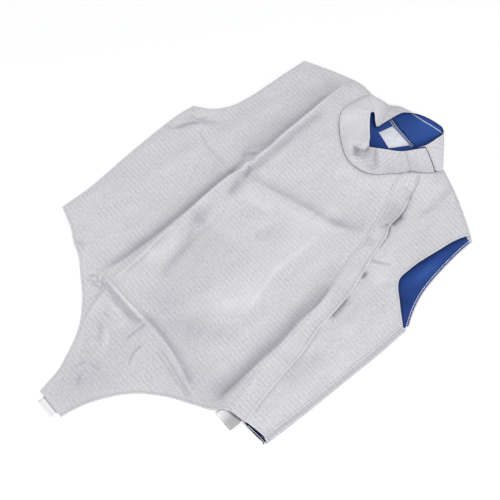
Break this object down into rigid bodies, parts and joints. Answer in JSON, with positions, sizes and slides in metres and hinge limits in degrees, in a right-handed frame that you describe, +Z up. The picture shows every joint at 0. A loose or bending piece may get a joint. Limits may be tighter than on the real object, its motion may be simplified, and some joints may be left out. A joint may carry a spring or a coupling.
{
  "type": "fencing vest",
  "caption": "Sleeveless fencing vest of ribbed silver conductive cloth with a blue lining, laid flat, with a standing collar, a fly at the side and a crotch tab.",
  "frame": {"origin": "on the vest's centre line, on the flat underside of the back that it lies on", "axes": "+X to the wearer's left, +Y from the hem towards the collar, +Z up from the surface it lies on"},
  "size_m": [0.54, 0.7932, 0.0611],
  "materials": {
    "silver ribbed cloth": "ribbed metallic cloth",
    "royal blue lining": "matte",
    "white webbing": "matte webbing"
  },
  "bodies": {
    "root": {"back": "silver ribbed cloth", "back_lining": "royal blue lining", "front_panel": "silver ribbed cloth", "left_front": "silver ribbed cloth", "fly_flap": "silver ribbed cloth", "collar_tab": "silver ribbed cloth", "collar_front": "silver ribbed cloth", "collar_right": "silver ribbed cloth", "collar_back": "silver ribbed cloth", "collar_left": "silver ribbed cloth", "collar_lining_front": "royal blue lining", "collar_lining_right": "royal blue lining", "collar_lining_back": "royal blue lining", "collar_lining_left": "royal blue lining", "neck_label": "white webbing", "hem_strap": "white webbing", "tab_strap": "white webbing"}
  },
  "joints": []
}
